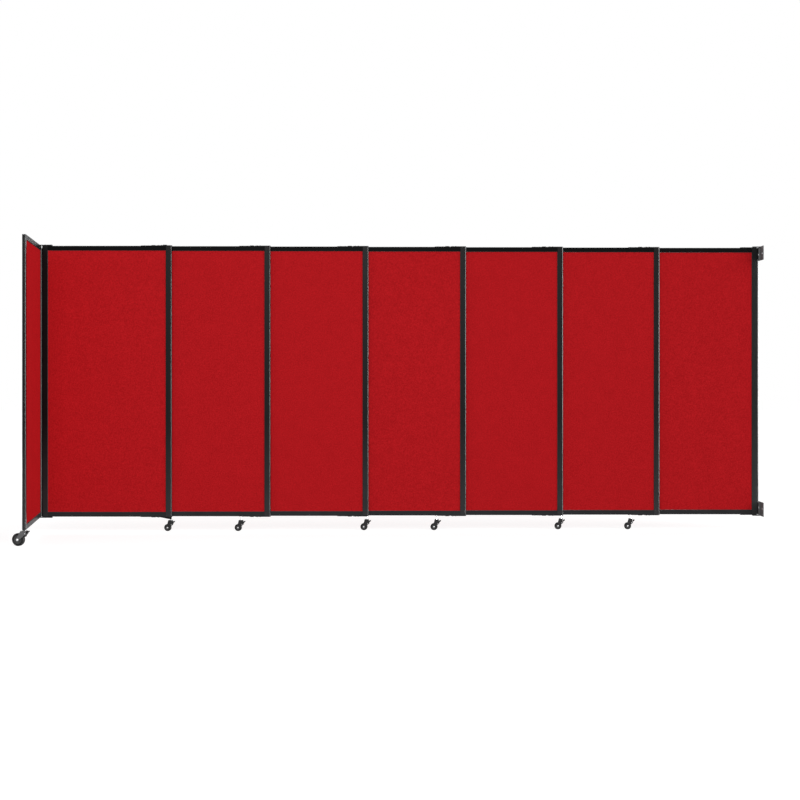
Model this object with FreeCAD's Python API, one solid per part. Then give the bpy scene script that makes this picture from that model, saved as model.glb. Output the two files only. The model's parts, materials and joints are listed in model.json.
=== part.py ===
import FreeCAD, Part
import math
import os
from collections import namedtuple

# Sliding room divider: a telescoping row of framed fabric panels, an end panel hinged to the
# row's left end, swivel casters under every second panel and under the end panel, and two
# brackets that carry the row's right end on a wall.
# Millimetres. +X runs along the row towards the wall, +Y to the back, +Z up from the floor.

# Row of panels
panel_count = 7
panel_width = 826.0
wall_panel_width = 845.0
panel_overlap = 200.0
panel_gap = 4.0
frame_height = 1724.0

# Frame extrusions
frame_thickness = 22.0
post_face = 36.0
wall_post_face = 43.0
post_corner_radius = 8.5
post_wall = 2.0
end_plug_length = 20.0
end_plug_fit = 0.1
rail_face = 28.0
board_thickness = 14.0
channel_depth = 8.0
board_side_fit = 0.2
board_edge_fit = 0.3

# Grooves in the rails' outer faces, and the guide brackets whose lips run in them
groove_width = 3.5
groove_depth = 8.0
groove_wall = 2.0
guide_plate = 3.0
guide_lift = 1.0
guide_lip_fit = 0.5
guide_lip_end_gap = 2.0
guide_edge_inset = 2.0
guide_corner_cut = 6.0
stop_gap = 2.0
wedge_length = 62.0
wedge_width = 12.0
wedge_thin_end = 2.0
wedge_thick_end = 15.0

# End panel's hinge
end_lean = 7.4
hinge_side_gap = 5.0
hinge_inline_gap = 3.0
hinge_pin_radius = 5.0
hinge_bar_width = 20.0
hinge_bar_thickness = 4.0
hinge_bar_reach = 64.0
hinge_corner_cut = 5.0
pivot_plate_thickness = 3.0
pivot_plate_length = 60.0
plate_gap = 0.3
pin_fit = 0.08

# Wall hinge
wall_gap = 10.0
wall_plate_thickness = 5.0
wall_plate_height = 90.0
wall_plate_front = 82.0
wall_plate_back = 46.0
wall_hole_radius = 3.5
wall_hole_spacing = 90.0
wall_hole_height = 40.0
wall_tab_thickness = 5.0
wall_tab_width = 34.0
wall_leaf_width = 20.0
wall_leaf_thickness = 4.0
wall_pin_radius = 6.0
wall_corner_cut = 6.0

# Small casters
caster_inset = 188.0
small_wheel_radius = 22.5
small_wheel_width = 20.0
small_trail = 18.0
small_stem_radius = 4.0
small_crown_height = 21.5
small_crown_half = 12.0
small_boss_radius = 8.0
small_arm_thickness = 2.6
small_axle_radius = 3.0
small_lever_reach = 17.5
small_lever_rise = 18.0
small_lever_pedal = 9.0
small_lever_drop = 9.0
small_caster_turn = -8.0

# Large caster
large_wheel_radius = 37.5
large_wheel_width = 26.0
large_trail = 36.0
large_stem_radius = 6.0
large_stem_grip = 40.0
large_bare_stem = 5.0
large_crown_height = 11.5
large_stem_flange_radius = 11.0
large_crown_half = 16.0
large_boss_radius = 11.0
large_arm_thickness = 3.2
large_axle_radius = 4.0
large_lever_reach = 16.0
large_lever_rise = 13.0
large_lever_pedal = 8.0
large_lever_drop = 20.0
large_caster_turn = -13.0

# Sizes that both kinds of caster share
wheel_side_gap = 1.2
wheel_top_gap = 3.5
boss_bevel = 0.4
lever_barrel = 3.6
lever_plate = 3.6
lever_slope = 0.36
lever_crown_gap = 2.0

# Places that follow from the sizes above
panel_pitch = panel_width - panel_overlap
panel_spacing = frame_thickness + panel_gap
half_thickness = frame_thickness / 2
edge_radius = min(post_corner_radius, half_thickness - post_wall)
channel_width = board_thickness + 2 * board_side_fit
groove_offset = half_thickness - groove_wall - groove_width / 2
guide_length = (panel_overlap - stop_gap) / 2
small_fork_top = 2 * small_wheel_radius + wheel_top_gap + small_crown_height
large_fork_top = 2 * large_wheel_radius + wheel_top_gap + large_crown_height
frame_bottom = large_fork_top + large_bare_stem
frame_top = frame_bottom + frame_height
end_pivot_x = -(half_thickness + hinge_side_gap)
end_pivot_inset = half_thickness + hinge_side_gap - hinge_inline_gap
end_angle = 90.0 + end_lean
wall_pivot_x = wall_panel_width - wall_post_face / 2
wall_inner_face = wall_panel_width + wall_gap
wall_outer_face = wall_inner_face + wall_plate_thickness
wall_tab_low = frame_top + wall_leaf_thickness + plate_gap
wall_tab_high = wall_tab_low + wall_tab_thickness
wall_plate_low = wall_tab_high - wall_plate_height

Caster = namedtuple(
    "Caster",
    "wheel_radius wheel_width trail stem_radius fork_top crown_half boss_radius arm axle_radius "
    "lever_reach lever_rise lever_pedal lever_drop turn",
)
small_caster = Caster(
    small_wheel_radius, small_wheel_width, small_trail, small_stem_radius, small_fork_top,
    small_crown_half, small_boss_radius, small_arm_thickness, small_axle_radius,
    small_lever_reach, small_lever_rise, small_lever_pedal, small_lever_drop, small_caster_turn,
)
large_caster = Caster(
    large_wheel_radius, large_wheel_width, large_trail, large_stem_radius, large_fork_top,
    large_crown_half, large_boss_radius, large_arm_thickness, large_axle_radius,
    large_lever_reach, large_lever_rise, large_lever_pedal, large_lever_drop, large_caster_turn,
)

ALONG = FreeCAD.Vector(1, 0, 0)
ACROSS = FreeCAD.Vector(0, 1, 0)
UP = FreeCAD.Vector(0, 0, 1)


def at(x, y, z):
    return FreeCAD.Vector(x, y, z)


def prism(points, direction):
    """Extrude the closed outline through the points."""
    return Part.Face(Part.makePolygon(points + [points[0]])).extrude(direction)


def block(low, high):
    """Box between two corners."""
    size = high - low
    return Part.makeBox(size.x, size.y, size.z, low)


def disc(radius, base, height, axis=UP):
    """Cylinder of a height along an axis from the centre of its base."""
    return Part.makeCylinder(radius, height, base, axis)


def one_solid(shape):
    """The single solid of a boolean result, with split faces joined."""
    return shape.removeSplitter().Solids[0]


def upside_down(shape):
    """The same piece mirrored about the panels' mid height."""
    return shape.mirror(at(0, 0, (frame_bottom + frame_top) / 2), UP)


def at_right_end(shape, width):
    """A piece of a panel's left end, mirrored to its right end."""
    return shape.mirror(at(width / 2, 0, 0), ALONG)


def cropped_bar(square_end, cropped_end, half, cut, z, thickness):
    """Flat bar along X with the corners of one end cropped."""
    step = math.copysign(cut, square_end - cropped_end)
    outline = [
        (square_end, -half), (square_end, half), (cropped_end + step, half),
        (cropped_end, half - cut), (cropped_end, cut - half), (cropped_end + step, -half),
    ]
    return prism([at(x, y, z) for x, y in outline], UP * thickness)


def post_section(face):
    """Outline of an upright: rounded outer edge at zero, square inner edge."""
    half = half_thickness
    bulge = edge_radius * (1 - math.sqrt(0.5))
    z = frame_bottom
    front = at(edge_radius, -half, z)
    front_side = at(0, edge_radius - half, z)
    back_side = at(0, half - edge_radius, z)
    back = at(edge_radius, half, z)
    inner_back = at(face, half, z)
    inner_front = at(face, -half, z)
    edges = [
        Part.LineSegment(inner_front, front),
        Part.Arc(front, at(bulge, bulge - half, z), front_side),
        Part.LineSegment(front_side, back_side),
        Part.Arc(back_side, at(bulge, half - bulge, z), back),
        Part.LineSegment(back, inner_back),
        Part.LineSegment(inner_back, inner_front),
    ]
    return Part.Face(Part.Wire([edge.toShape() for edge in edges]))


def post_hollow(face, length, fit=0.0):
    """Inside of an upright, from its bottom end up."""
    half = half_thickness - post_wall - fit
    inner = face - channel_depth - post_wall - fit
    return block(at(edge_radius + fit, -half, frame_bottom), at(inner, half, frame_bottom + length))


def stem_inset():
    """Middle of the hollow of an upright, measured from its outer edge."""
    return (edge_radius + post_face - channel_depth - post_wall) / 2


def post_solids(face):
    """Hollow upright with a channel for the board, and the plugs in its two ends."""
    channel = block(
        at(face - channel_depth, -channel_width / 2, frame_bottom),
        at(face, channel_width / 2, frame_top),
    )
    post = post_section(face).extrude(UP * frame_height)
    post = one_solid(post.cut([post_hollow(face, frame_height), channel]))
    plug = post_hollow(face, end_plug_length, end_plug_fit)
    return [post, plug, upside_down(plug)]


def stem_plug():
    """Long end plug, bored for the large caster's stem."""
    plug = post_hollow(post_face, large_stem_grip, end_plug_fit)
    return one_solid(plug.cut(disc(large_stem_radius, at(stem_inset(), 0, frame_bottom), large_stem_grip)))


def rail_solid(left_face, right_face, width):
    """Top rail: board channel below, two guide grooves above, between the two posts."""
    inner = frame_top - rail_face
    channel_floor = inner + channel_depth
    half_channel = channel_width / 2
    groove_floor = frame_top - groove_depth
    near = groove_offset - groove_width / 2
    far = groove_offset + groove_width / 2
    half_outline = [
        (half_channel, channel_floor), (half_channel, inner), (half_thickness, inner),
        (half_thickness, frame_top), (far, frame_top), (far, groove_floor),
        (near, groove_floor), (near, frame_top),
    ]
    outline = half_outline + [(-y, z) for y, z in reversed(half_outline)]
    points = [at(left_face, y, z) for y, z in outline]
    return prism(points, ALONG * (width - left_face - right_face))


def board_solid(left_face, right_face, width):
    """Fabric-covered board, seated in the channels of posts and rails."""
    reach = channel_depth - board_edge_fit
    half = board_thickness / 2
    low = at(left_face - reach, -half, frame_bottom + rail_face - reach)
    high = at(width - right_face + reach, half, frame_top - rail_face + reach)
    return block(low, high)


def guide_solid():
    """Top guide bracket of a panel's left end: a plate on the rail with a lip in front.

    The plate is lifted clear of the front neighbour's rail, and the lip runs in its rear groove.
    """
    seat_back = half_thickness - guide_edge_inset
    lip_middle = groove_offset - panel_spacing
    lip_half = groove_width / 2 - guide_lip_fit
    lip_low = frame_top - groove_depth + guide_lip_end_gap
    under = frame_top + guide_lift
    top = under + guide_plate
    outline = [
        (seat_back, frame_top), (seat_back, top), (lip_middle - lip_half, top),
        (lip_middle - lip_half, lip_low), (lip_middle + lip_half, lip_low),
        (lip_middle + lip_half, under), (-half_thickness, under), (-half_thickness, frame_top),
    ]
    bracket = prism([at(0, y, z) for y, z in outline], ALONG * guide_length)
    corners = [
        edge for edge in bracket.Edges
        if all(abs(vertex.Y - seat_back) < 0.01 for vertex in edge.Vertexes)
        and abs(edge.Vertexes[0].X - edge.Vertexes[-1].X) < 0.01
    ]
    return bracket.makeChamfer(guide_corner_cut, corners).Solids[0]


def guide_solids(on_left, on_right):
    """Guide brackets of one panel, top and bottom, at the ends that overlap a neighbour."""
    tops = []
    if on_left:
        tops.append(guide_solid())
    if on_right:
        bracket = guide_solid()
        bracket.rotate(at(panel_width / 2, 0, 0), UP, 180)
        tops.append(bracket)
    return tops + [upside_down(bracket) for bracket in tops]


def wedge_solid():
    """Wedge under the bottom guide bracket of the first panel's right end."""
    top = frame_bottom - guide_lift - guide_plate
    end = panel_width - guide_edge_inset
    start = end - wedge_length
    outline = [(start, top), (end, top), (end, top - wedge_thick_end), (start, top - wedge_thin_end)]
    return prism([at(x, -wedge_width / 2, z) for x, z in outline], ACROSS * wedge_width)


def hinge_bar_solids():
    """Bars on the top and bottom of panel 1 that reach out over the end panel's pivot pins."""
    half = hinge_bar_width / 2
    under = frame_top + pivot_plate_thickness + plate_gap
    bar = cropped_bar(
        hinge_bar_reach, end_pivot_x - half, half, hinge_corner_cut, under, hinge_bar_thickness
    )
    bar = bar.fuse(block(at(0, -half, frame_top), at(hinge_bar_reach, half, under)))
    bore = disc(hinge_pin_radius + pin_fit, at(end_pivot_x, 0, under), hinge_bar_thickness)
    bar = one_solid(bar.cut(bore))
    return [bar, upside_down(bar)]


def pivot_plate_solids():
    """Plates with pivot pins on the top and bottom of the end panel's hinge post."""
    half = hinge_bar_width / 2
    outer_end = panel_width - guide_edge_inset
    pin_place = at(panel_width - end_pivot_inset, 0, frame_top)
    pin_length = pivot_plate_thickness + plate_gap + hinge_bar_thickness
    plate = cropped_bar(
        outer_end - pivot_plate_length, outer_end, half, hinge_corner_cut, frame_top,
        pivot_plate_thickness,
    )
    plate = one_solid(plate.fuse(disc(hinge_pin_radius, pin_place, pin_length)))
    return [plate, upside_down(plate)]


def wall_leaf_solids():
    """Plates on the top and bottom of the last panel, bored for the wall brackets' pins.

    Their inner ends stop the neighbour's guide brackets, as a bracket of their own would.
    """
    half = wall_leaf_width / 2
    outer_end = wall_pivot_x + half
    leaf = cropped_bar(
        panel_width - guide_length, outer_end, half, hinge_corner_cut, frame_top,
        wall_leaf_thickness,
    )
    bore = disc(wall_pin_radius + pin_fit, at(wall_pivot_x, 0, frame_top), wall_leaf_thickness)
    leaf = one_solid(leaf.cut(bore))
    return [leaf, upside_down(leaf)]


def wall_hole_places():
    """Middles of the fixing holes on the top bracket's wall face."""
    middle = (wall_plate_back - wall_plate_front) / 2
    z = wall_plate_low + wall_hole_height
    return [at(wall_outer_face, middle + side * wall_hole_spacing / 2, z) for side in (-1, 1)]


def wall_bracket_solids():
    """Wall brackets: a plate with fixing holes, a tab over the post, and a pivot pin."""
    half = wall_tab_width / 2
    plate = block(
        at(wall_inner_face, -wall_plate_front, wall_plate_low),
        at(wall_outer_face, wall_plate_back, wall_tab_high),
    )
    tab = cropped_bar(
        wall_inner_face, wall_pivot_x - half, half, wall_corner_cut, wall_tab_low,
        wall_tab_thickness,
    )
    pin = disc(wall_pin_radius, at(wall_pivot_x, 0, frame_top), wall_tab_high - frame_top)
    holes = [
        disc(wall_hole_radius, place, wall_plate_thickness, -ALONG) for place in wall_hole_places()
    ]
    bracket = one_solid(plate.fuse([tab, pin]).cut(holes))
    return [bracket, upside_down(bracket)]


def slot_half(caster):
    """Half the space between the fork's arms."""
    return caster.wheel_width / 2 + wheel_side_gap


def slot_top(caster):
    """Underside of the fork's crown, over the wheel."""
    return 2 * caster.wheel_radius + wheel_top_gap


def lever_pivot(caster):
    """Middle of the lever's barrel, between the arms and just under the crown."""
    swing = lever_barrel * math.sqrt(2)
    return at(caster.crown_half - lever_barrel, 0, slot_top(caster) - swing - plate_gap)


def stem_foot(caster):
    """Lower end of the stem, inside the fork's crown."""
    return slot_top(caster) + (caster.fork_top - slot_top(caster)) / 3


def wheel_solid(caster):
    """Wheel bored for the axle."""
    side = at(-caster.trail, -caster.wheel_width / 2, caster.wheel_radius)
    wheel = disc(caster.wheel_radius, side, caster.wheel_width, ACROSS)
    return one_solid(wheel.cut(disc(caster.axle_radius + pin_fit, side, caster.wheel_width, ACROSS)))


def fork_solid(caster):
    """Swivel fork bored for the stem, with the axle between its arms."""
    inner = slot_half(caster)
    half = inner + caster.arm
    crown = caster.crown_half
    boss = caster.boss_radius
    shoulder = lever_pivot(caster).z - lever_barrel
    axle_x = -caster.trail
    axle_z = caster.wheel_radius
    outline = [
        (axle_x - boss, axle_z), (-crown - boss, shoulder), (-crown, caster.fork_top),
        (crown, caster.fork_top), (crown, shoulder), (axle_x + boss, axle_z),
        (axle_x + boss * boss_bevel, axle_z - boss), (axle_x - boss * boss_bevel, axle_z - boss),
    ]
    fork = prism([at(x, -half, z) for x, z in outline], ACROSS * (2 * half))
    reach = caster.trail + crown + boss
    slot = block(at(-reach, -inner, 0), at(reach, inner, slot_top(caster)))
    bore = disc(caster.stem_radius + pin_fit, at(0, 0, stem_foot(caster)), caster.fork_top)
    axle = disc(caster.axle_radius, at(axle_x, -inner, axle_z), 2 * inner, ACROSS)
    return one_solid(fork.cut([slot, bore]).fuse(axle))


def lever_solid(caster):
    """Brake lever: a barrel between the arms, a pedal in front, a shoe that faces the tread."""
    pivot = lever_pivot(caster)
    half = slot_half(caster) - plate_gap
    half_plate = lever_plate / 2
    half_pedal = caster.lever_pedal / 2
    front = lever_barrel + lever_crown_gap
    shoe = -caster.lever_drop * lever_slope
    outline = [
        (-lever_barrel, lever_barrel), (-lever_barrel, -lever_barrel),
        (shoe - half_plate, -caster.lever_drop), (shoe + half_plate, -caster.lever_drop),
        (half_plate, -lever_barrel), (front, -lever_barrel),
        (front + lever_plate, caster.lever_rise - caster.lever_pedal),
        (caster.lever_reach, caster.lever_rise - half_pedal),
        (caster.lever_reach, caster.lever_rise + half_pedal),
        (front, caster.lever_rise), (front, lever_barrel),
    ]
    return prism([at(pivot.x + x, -half, pivot.z + z) for x, z in outline], ACROSS * (2 * half))


def small_stem():
    """Bare stem from the bottom rail down into the fork."""
    foot = stem_foot(small_caster)
    return disc(small_stem_radius, at(0, 0, foot), frame_bottom - foot)


def large_stem():
    """Stem of the large caster, with a flange under the post."""
    foot = stem_foot(large_caster)
    shaft = disc(large_stem_radius, at(0, 0, foot), frame_bottom + large_stem_grip - foot)
    flange = disc(large_stem_flange_radius, at(0, 0, large_fork_top + plate_gap), large_bare_stem - plate_gap)
    return one_solid(shaft.fuse(flange))


def moved(solids, place):
    """Copies of the solids, moved."""
    copies = [solid.copy() for solid in solids]
    for copy in copies:
        copy.translate(place)
    return copies


def caster_nodes(name, caster, place):
    """Fork, wheel and lever of one caster, turned about its stem and put in place."""
    pieces = {"_fork": fork_solid(caster), "_wheel": wheel_solid(caster), "_lever": lever_solid(caster)}
    for piece in pieces.values():
        piece.rotate(at(0, 0, 0), UP, caster.turn)
        piece.translate(place)
    return {name + ending: [piece] for ending, piece in pieces.items()}


def panel_place(number):
    """Left edge of a panel of the row, on its mid-plane."""
    return at((number - 1) * panel_pitch, (number - 1) * panel_spacing, 0)


def caster_places(number):
    """Distances of a panel's caster stems from its left edge: every second panel has two."""
    if number % 2:
        return []
    return [caster_inset, panel_width - caster_inset]


def frame_nodes(name, right_face, width):
    """Posts, rails and board of one panel."""
    top_rail = rail_solid(post_face, right_face, width)
    right_post = [at_right_end(solid, width) for solid in post_solids(right_face)]
    return {
        name + "_posts": post_solids(post_face) + right_post,
        name + "_rails": [top_rail, upside_down(top_rail)],
        name + "_board": [board_solid(post_face, right_face, width)],
    }


def row_panel_nodes(number):
    """All pieces of one panel of the row, with its casters where it has any."""
    name = "panel_%d" % number
    first = number == 1
    last = number == panel_count
    places = caster_places(number)
    right_face = wall_post_face if last else post_face
    nodes = frame_nodes(name, right_face, wall_panel_width if last else panel_width)
    nodes[name + "_guides"] = guide_solids(not first, not last)
    if first:
        nodes[name + "_guides"].append(wedge_solid())
        nodes[name + "_hinge_bars"] = hinge_bar_solids()
    if last:
        nodes[name + "_wall_leaves"] = wall_leaf_solids()
        nodes["wall_brackets"] = wall_bracket_solids()
    if places:
        stems = [moved([small_stem()], at(place, 0, 0))[0] for place in places]
        nodes[name + "_caster_stems"] = stems
    nodes = {node: moved(solids, panel_place(number)) for node, solids in nodes.items()}
    for side, place in zip(("left", "right"), places):
        ground = panel_place(number) + at(place, 0, 0)
        nodes.update(caster_nodes("caster_%d_%s" % (number, side), small_caster, ground))
    return nodes


def end_caster_place():
    """Point on the floor under the end panel's free post."""
    arm = panel_width - end_pivot_inset - stem_inset()
    angle = math.radians(end_angle)
    return at(end_pivot_x - arm * math.cos(angle), -arm * math.sin(angle), 0)


def end_panel_nodes():
    """All pieces of the end panel, swung about its hinge, with its large caster."""
    nodes = frame_nodes("end_panel", post_face, panel_width)
    nodes["end_panel_posts"][1] = stem_plug()
    nodes["end_panel_pivot_plates"] = pivot_plate_solids()
    nodes["end_panel_caster_stem"] = moved([large_stem()], at(stem_inset(), 0, 0))
    for node, solids in nodes.items():
        nodes[node] = moved(solids, at(end_pivot_x + end_pivot_inset - panel_width, 0, 0))
        for solid in nodes[node]:
            solid.rotate(at(end_pivot_x, 0, 0), UP, end_angle)
    nodes.update(caster_nodes("end_caster", large_caster, end_caster_place()))
    return nodes


def all_nodes():
    """Every node's solids, and the shift that put the origin at the part's bottom centre."""
    nodes = end_panel_nodes()
    for number in range(1, panel_count + 1):
        nodes.update(row_panel_nodes(number))
    box = FreeCAD.BoundBox()
    for solids in nodes.values():
        for solid in solids:
            box.add(solid.optimalBoundingBox())
    shift = at(-box.Center.x, -box.Center.y, -box.ZMin)
    return {node: moved(solids, shift) for node, solids in nodes.items()}, shift


def main():
    os.makedirs("parts", exist_ok=True)
    nodes, shift = all_nodes()
    for node, solids in nodes.items():
        Part.makeCompound(solids).exportStep("parts/" + node + ".step")
    print(len(nodes), "nodes, moved by", shift)


if __name__ == "__main__":
    main()
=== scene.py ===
"""Looks of a sliding room divider: felt boards in black frames, guides, hinges and casters."""

import json
import logging
import math
from dataclasses import dataclass, field
from enum import Enum
from typing import Iterable, Sequence

import bmesh
import bpy
from mathutils import Matrix, Vector

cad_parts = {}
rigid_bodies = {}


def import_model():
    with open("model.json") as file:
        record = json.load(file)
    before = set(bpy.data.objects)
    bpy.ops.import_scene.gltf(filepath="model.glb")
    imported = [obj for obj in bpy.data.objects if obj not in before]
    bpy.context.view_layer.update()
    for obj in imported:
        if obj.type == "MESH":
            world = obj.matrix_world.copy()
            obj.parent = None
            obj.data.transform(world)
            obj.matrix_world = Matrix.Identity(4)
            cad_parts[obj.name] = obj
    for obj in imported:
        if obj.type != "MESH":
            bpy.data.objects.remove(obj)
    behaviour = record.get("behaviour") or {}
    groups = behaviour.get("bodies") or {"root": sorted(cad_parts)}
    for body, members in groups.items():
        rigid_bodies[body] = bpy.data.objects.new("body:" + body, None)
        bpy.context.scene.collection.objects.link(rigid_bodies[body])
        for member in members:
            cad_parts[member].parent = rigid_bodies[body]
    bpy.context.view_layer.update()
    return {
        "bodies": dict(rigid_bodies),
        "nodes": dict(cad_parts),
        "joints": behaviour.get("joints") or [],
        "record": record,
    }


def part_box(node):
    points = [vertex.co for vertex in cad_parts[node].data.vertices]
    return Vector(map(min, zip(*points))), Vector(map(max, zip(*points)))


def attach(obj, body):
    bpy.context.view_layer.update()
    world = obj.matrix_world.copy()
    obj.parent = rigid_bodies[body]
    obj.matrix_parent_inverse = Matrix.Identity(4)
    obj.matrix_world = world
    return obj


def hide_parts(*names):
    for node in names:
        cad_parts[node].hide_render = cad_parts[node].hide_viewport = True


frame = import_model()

LOG = logging.getLogger("room_divider")
MM = 0.001
WHITE = (1.0, 1.0, 1.0, 1.0)
BORE = -1.0

Colour = tuple[float, float, float]
Point = tuple[float, float, float]
Pair = tuple[float, float]
Node = bpy.types.Node
Socket = bpy.types.NodeSocket
Sockets = bpy.types.bpy_prop_collection
Tree = bpy.types.NodeTree


class Slot(Enum):
    """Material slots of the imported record."""

    FRAME = "frame"
    FELT = "fabric"
    HARDWARE = "hardware"
    WALL = "wall_bracket"
    BRIGHT = "bright_steel"
    FORK = "caster_fork"
    WHEEL = "caster_wheel"
    LEVER = "caster_lever"


class Effect(Enum):
    """Surface effects of the finishes, each kept as one node group."""

    GRAIN = "surface_grain"
    DUST = "floor_dust"
    FELT = "felt_fibres"
    SCUFF = "scuff_marks"


class Side(Enum):
    """Ends of a panel; the value is the way along X from that end to the middle."""

    LEFT = 1
    RIGHT = -1


class Facing(Enum):
    """Ways that a seat points; the value is its turn about the local X axis."""

    UP = 0.0
    DOWN = math.pi
    FRONT = math.pi / 2
    BACK = -math.pi / 2


class Bench:
    """Adds nodes to one node tree."""

    def __init__(self, tree: Tree) -> None:
        """Start on a tree."""
        self.tree = tree

    def put(self, value: object, socket: Socket) -> None:
        """Give an input a socket to read, or a plain value of its own.

        Args:
            value: A socket or a value.
            socket: The input.
        """
        if isinstance(value, Socket):
            self.tree.links.new(value, socket)
        else:
            socket.default_value = value

    def fill(self, node: Node, **inputs: object) -> None:
        """Put sockets or values on a node's inputs, named with _ for a space."""
        for name, value in inputs.items():
            self.put(value, node.inputs[name.replace("_", " ")])

    def add(self, kind: str, **inputs: object) -> Node:
        """Add a node.

        Args:
            kind: Blender's name for it after "ShaderNode".
            **inputs: Sockets or values for its inputs, named with _ for a space.

        Returns:
            The node.
        """
        node = self.tree.nodes.new("ShaderNode" + kind)
        self.fill(node, **inputs)
        return node

    def math(self, operation: str, *values: object, clamp: bool = False) -> Socket:
        """Arithmetic on sockets and numbers.

        Args:
            operation: Blender's name for it.
            *values: Sockets or numbers.
            clamp: Whether to keep the result from 0 to 1.

        Returns:
            The result's socket.
        """
        node = self.add("Math")
        node.operation, node.use_clamp = operation, clamp
        for value, socket in zip(values, node.inputs):
            self.put(value, socket)
        return node.outputs[0]


class EffectBench(Bench):
    """Builds the node group of a shared effect; scales are in waves per metre."""

    BROAD_SCALE, GRAIN_DETAIL = 5.0, 2.0
    DUST_SCALE, DUST_DETAIL = 9.0, 4.0
    DUST_SPREAD, DUST_LEAST = 0.8, 0.6
    FIBRE_DETAIL, FIBRE_STIR = 4.0, 1.6
    FLOCK_SCALE = 140.0
    FIBRE_SHARE, FLOCK_SHARE, CLOUD_SHARE, FELT_SHIFT = 0.85, 0.6, 0.1, 0.275
    SCUFF_STRETCH, SCUFF_DETAIL, SCUFF_STIR = (0.7, 0.7, 4.0), 6.0, 0.7
    SCUFF_START, SCUFF_CONTRAST = 0.57, 9.0
    SPECK_SCALE, SPECK_CONTRAST, SPECK_SHIFT = 1300.0, 2.4, -0.5

    @classmethod
    def group(cls, effect: Effect) -> Tree:
        """Find or build an effect.

        Args:
            effect: The effect that is wanted.

        Returns:
            Its node group.
        """
        tree = bpy.data.node_groups.get(effect.value)
        if tree is None:
            tree = bpy.data.node_groups.new(effect.value, "ShaderNodeTree")
            bench = cls(tree)
            makers = {
                Effect.GRAIN: bench.grain,
                Effect.DUST: bench.dust,
                Effect.FELT: bench.felt,
                Effect.SCUFF: bench.scuff,
            }
            makers[effect]()
        return tree

    def inputs(self, **defaults: object) -> Sockets:
        """Give the group its inputs.

        Args:
            **defaults: Default of each input; a tuple makes a vector.

        Returns:
            The sockets that bring the inputs in.
        """
        for name, value in defaults.items():
            kind = "NodeSocketVector" if isinstance(value, tuple) else "NodeSocketFloat"
            socket = self.tree.interface.new_socket(name, in_out="INPUT", socket_type=kind)
            socket.default_value = value
        return self.tree.nodes.new("NodeGroupInput").outputs

    def outputs(self, **values: Socket) -> None:
        """Give the group its outputs.

        Args:
            **values: What each output puts out.
        """
        for name in values:
            self.tree.interface.new_socket(name, in_out="OUTPUT", socket_type="NodeSocketFloat")
        self.fill(self.tree.nodes.new("NodeGroupOutput"), **values)

    def place(self) -> Socket:
        """Coordinates in metres that stay with the piece."""
        return self.add("TexCoord").outputs["Object"]

    def stretched(self, stretch: object) -> Socket:
        """Coordinates multiplied axis by axis.

        Args:
            stretch: Factors of the axes, as numbers or as a socket.

        Returns:
            The new coordinates.
        """
        node = self.add("VectorMath")
        node.operation = "MULTIPLY"
        self.put(self.place(), node.inputs[0])
        self.put(stretch, node.inputs[1])
        return node.outputs[0]

    def noise(self, place: Socket, scale: object, detail: float = 3.0, stir: float = 0.0) -> Socket:
        """Noise from 0 to 1 at a place; its scale is a number or a socket."""
        node = self.add("TexNoise", Vector=place, Scale=scale, Detail=detail, Distortion=stir)
        return node.outputs["Fac"]

    def grain(self) -> None:
        """Fine grain that can be stretched into drawn lines, and slow changes of tone."""
        given = self.inputs(Stretch=(1.0, 1.0, 1.0), Scale=400.0)
        drawn = self.stretched(given["Stretch"])
        fine = self.noise(drawn, given["Scale"], self.GRAIN_DETAIL)
        broad = self.noise(self.place(), self.BROAD_SCALE, self.GRAIN_DETAIL)
        self.outputs(Value=fine, Broad=broad)

    def dust(self) -> None:
        """Dust that thins out with the height above the floor."""
        given = self.inputs(Top=0.9, Amount=0.5)
        height = self.add("SeparateXYZ", Vector=self.place()).outputs["Z"]
        low = self.math("SUBTRACT", 1.0, self.math("DIVIDE", height, given["Top"]), clamp=True)
        patches = self.noise(self.place(), self.DUST_SCALE, self.DUST_DETAIL)
        patchy = self.math("MULTIPLY_ADD", patches, self.DUST_SPREAD, self.DUST_LEAST)
        amount = self.math("MULTIPLY", low, given["Amount"])
        self.outputs(Mask=self.math("MULTIPLY", amount, patchy, clamp=True))

    def felt(self) -> None:
        """Matted fibres and flocks over slow clouds of denser and thinner felt."""
        given = self.inputs(Fibre=700.0, Cloud=14.0)
        place = self.place()
        fibre = self.noise(place, given["Fibre"], self.FIBRE_DETAIL, self.FIBRE_STIR)
        flock = self.noise(place, self.FLOCK_SCALE)
        cloud = self.noise(place, given["Cloud"])
        fine = self.math("MULTIPLY", fibre, self.FIBRE_SHARE)
        middle = self.math("MULTIPLY_ADD", flock, self.FLOCK_SHARE, fine)
        strong = self.math("MULTIPLY_ADD", cloud, self.CLOUD_SHARE, middle)
        tone = self.math("SUBTRACT", strong, self.FELT_SHIFT, clamp=True)
        self.outputs(Tone=tone, Height=self.math("ADD", fine, flock))

    def scuff(self) -> None:
        """Sparse rubbed streaks that lie level and break up into specks."""
        given = self.inputs(Scale=90.0, Amount=0.4)
        level = self.stretched(self.SCUFF_STRETCH)
        marks = self.noise(level, given["Scale"], self.SCUFF_DETAIL, self.SCUFF_STIR)
        over = self.math("SUBTRACT", marks, self.SCUFF_START)
        sharp = self.math("MULTIPLY", over, self.SCUFF_CONTRAST, clamp=True)
        specks = self.noise(self.place(), self.SPECK_SCALE, self.GRAIN_DETAIL)
        gaps = self.math("MULTIPLY_ADD", specks, self.SPECK_CONTRAST, self.SPECK_SHIFT, clamp=True)
        broken = self.math("MULTIPLY", sharp, gaps)
        self.outputs(Mask=self.math("MULTIPLY", broken, given["Amount"]))


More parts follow.
